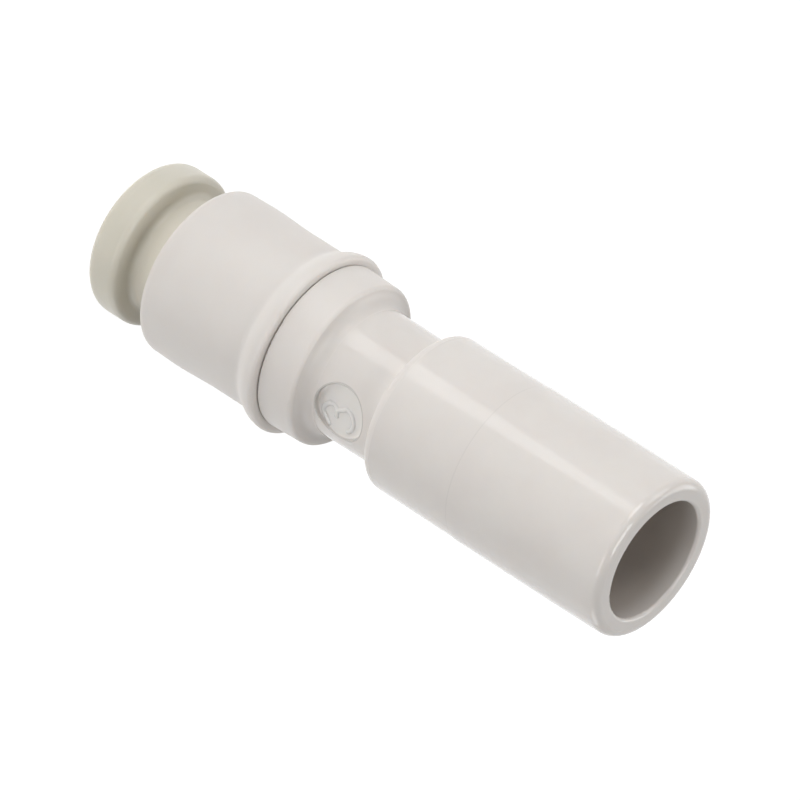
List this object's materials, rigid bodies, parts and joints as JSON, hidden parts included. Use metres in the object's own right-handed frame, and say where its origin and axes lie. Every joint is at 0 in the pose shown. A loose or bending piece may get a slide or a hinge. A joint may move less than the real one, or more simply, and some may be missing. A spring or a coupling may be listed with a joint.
{
  "type": "push-in reducer fitting",
  "caption": "Plastic push-in reducer: a small tube socket with an oval release button at one end and a larger hollow plug stem at the other.",
  "frame": {"origin": "on the axis, in the plane of the release button's outer face, which the fitting stands on", "axes": "+Z along the axis from the button to the open end of the plug stem; Y along the long side of the oval button"},
  "size_m": [0.0114, 0.0114, 0.0385],
  "materials": {
    "body_plastic": "satin",
    "sleeve_plastic": "matte",
    "button_plastic": "matte",
    "collet_plastic": "matte",
    "spring_steel": "satin",
    "formed_steel": "satin",
    "seal_rubber": "matte"
  },
  "bodies": {
    "housing": {"plug_body": "body_plastic", "socket_sleeve": "sleeve_plastic", "guide_ring": "formed_steel", "lip_seal": "seal_rubber"},
    "jaws": {"collet": "collet_plastic", "grip_ring": "spring_steel"},
    "button": {"release_button": "button_plastic"}
  },
  "joints": [
    {"name": "button_turn", "type": "hinge", "parent": "housing", "child": "jaws", "pos_m": [0, 0, 0.0085], "axis": [0, 0, 1], "continuous": true},
    {"name": "button_push", "type": "slide", "parent": "jaws", "child": "button", "axis": [0, 0, 1], "range_m": [0, 0.0014], "stiffness_N_per_m": 600, "springref_m": -0.0006}
  ]
}
